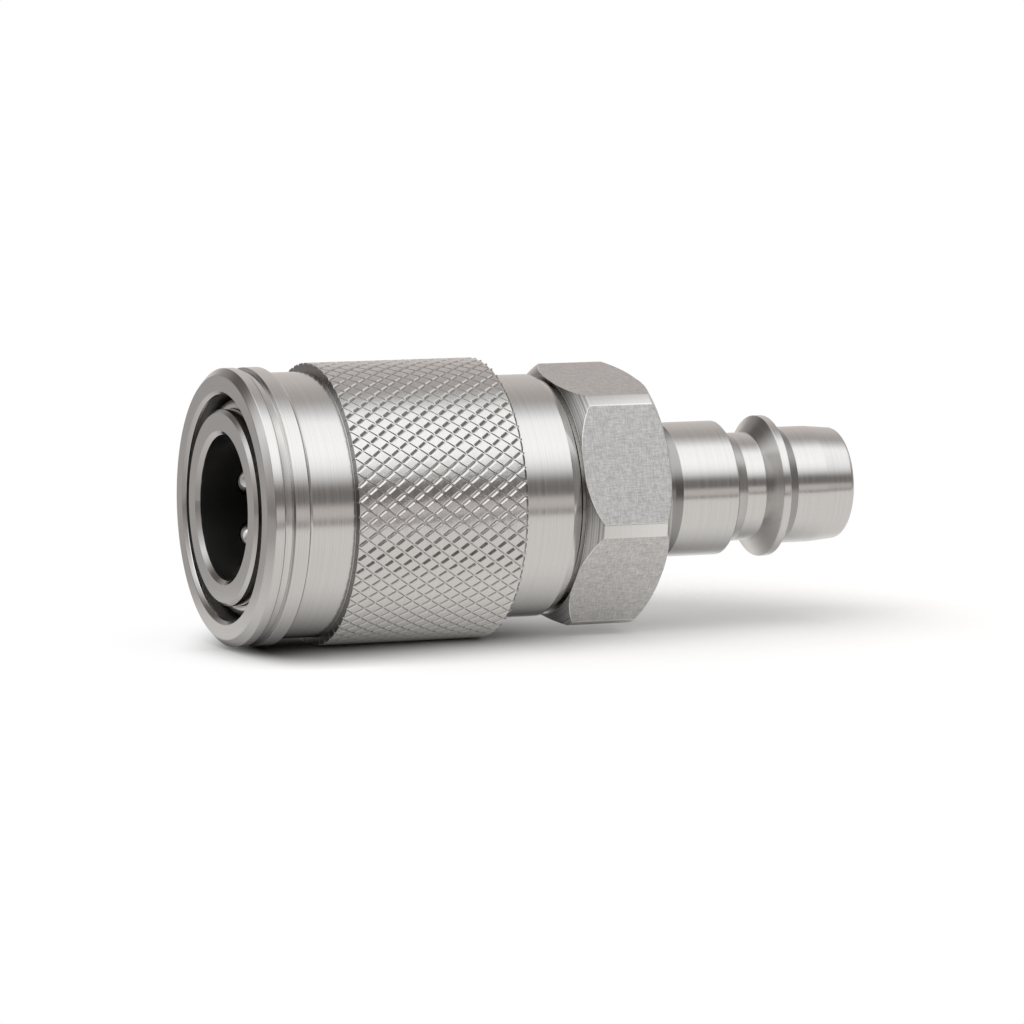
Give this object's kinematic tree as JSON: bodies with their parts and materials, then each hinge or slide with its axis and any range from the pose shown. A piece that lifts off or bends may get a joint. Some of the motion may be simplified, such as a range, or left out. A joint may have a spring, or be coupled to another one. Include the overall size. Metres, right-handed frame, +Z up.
{
  "type": "air hose coupler",
  "caption": "Stainless quick-release air coupler: spring-loaded knurled sleeve over a ball-lock socket with a self-closing valve, hexagon and a plug at the other end.",
  "frame": {"origin": "centre of the socket's mouth, on the axis", "axes": "+X along the axis from the mouth to the plug, +Z up, with one hexagon flat facing 19 degrees above -Y"},
  "size_m": [0.0557, 0.0234, 0.0234],
  "materials": {
    "sleeve_steel": "turned stainless steel, diamond knurl on the grip",
    "body_steel": "turned stainless steel",
    "adapter_steel": "turned stainless steel, milled flats",
    "wire_steel": "drawn bright spring wire",
    "spring_steel": "drawn spring wire",
    "ball_steel": "polished balls",
    "poppet_steel": "turned stainless steel, in shadow",
    "seat_steel": "turned stainless steel",
    "seal_rubber": "matt black nitrile rubber"
  },
  "bodies": {
    "socket": {"socket_body": "body_steel", "plug_adapter": "adapter_steel", "sleeve_snap_ring": "wire_steel", "seat_ring": "seat_steel", "valve_guide": "seat_steel", "nose_seal": "seal_rubber", "body_seal": "seal_rubber", "sleeve_spring": "spring_steel", "valve_spring": "spring_steel"},
    "sleeve": {"locking_sleeve": "sleeve_steel"},
    "poppet": {"valve_poppet": "poppet_steel", "poppet_seal": "seal_rubber"},
    "ball_1": {"locking_ball_1": "ball_steel"},
    "ball_2": {"locking_ball_2": "ball_steel"},
    "ball_3": {"locking_ball_3": "ball_steel"},
    "ball_4": {"locking_ball_4": "ball_steel"},
    "ball_5": {"locking_ball_5": "ball_steel"},
    "ball_6": {"locking_ball_6": "ball_steel"},
    "ball_7": {"locking_ball_7": "ball_steel"},
    "ball_8": {"locking_ball_8": "ball_steel"}
  },
  "joints": [
    {"name": "sleeve_slide", "type": "slide", "parent": "socket", "child": "sleeve", "axis": [1, 0, 0], "range_m": [0, 0.004], "stiffness_N_per_m": 1500, "springref_m": -0.003, "deforming": ["sleeve_spring"]},
    {"name": "valve_slide", "type": "slide", "parent": "socket", "child": "poppet", "axis": [1, 0, 0], "range_m": [0, 0.003], "stiffness_N_per_m": 300, "springref_m": -0.004, "deforming": ["valve_spring"]},
    {"name": "ball_1_release", "type": "slide", "parent": "socket", "child": "ball_1", "axis": [0, 0.9659, 0.2588], "range_m": [0, 0.00095]},
    {"name": "ball_2_release", "type": "slide", "parent": "socket", "child": "ball_2", "axis": [0, 0.5, 0.866], "range_m": [0, 0.00095]},
    {"name": "ball_3_release", "type": "slide", "parent": "socket", "child": "ball_3", "axis": [0, -0.2588, 0.9659], "range_m": [0, 0.00095]},
    {"name": "ball_4_release", "type": "slide", "parent": "socket", "child": "ball_4", "axis": [0, -0.866, 0.5], "range_m": [0, 0.00095]},
    {"name": "ball_5_release", "type": "slide", "parent": "socket", "child": "ball_5", "axis": [0, -0.9659, -0.2588], "range_m": [0, 0.00095]},
    {"name": "ball_6_release", "type": "slide", "parent": "socket", "child": "ball_6", "axis": [0, -0.5, -0.866], "range_m": [0, 0.00095]},
    {"name": "ball_7_release", "type": "slide", "parent": "socket", "child": "ball_7", "axis": [0, 0.2588, -0.9659], "range_m": [0, 0.00095]},
    {"name": "ball_8_release", "type": "slide", "parent": "socket", "child": "ball_8", "axis": [0, 0.866, -0.5], "range_m": [0, 0.00095]}
  ],
  "couplings": [
    {"joint": "ball_1_release", "follows": "sleeve_slide", "ratio": 0.2375},
    {"joint": "ball_2_release", "follows": "sleeve_slide", "ratio": 0.2375},
    {"joint": "ball_3_release", "follows": "sleeve_slide", "ratio": 0.2375},
    {"joint": "ball_4_release", "follows": "sleeve_slide", "ratio": 0.2375},
    {"joint": "ball_5_release", "follows": "sleeve_slide", "ratio": 0.2375},
    {"joint": "ball_6_release", "follows": "sleeve_slide", "ratio": 0.2375},
    {"joint": "ball_7_release", "follows": "sleeve_slide", "ratio": 0.2375},
    {"joint": "ball_8_release", "follows": "sleeve_slide", "ratio": 0.2375}
  ]
}
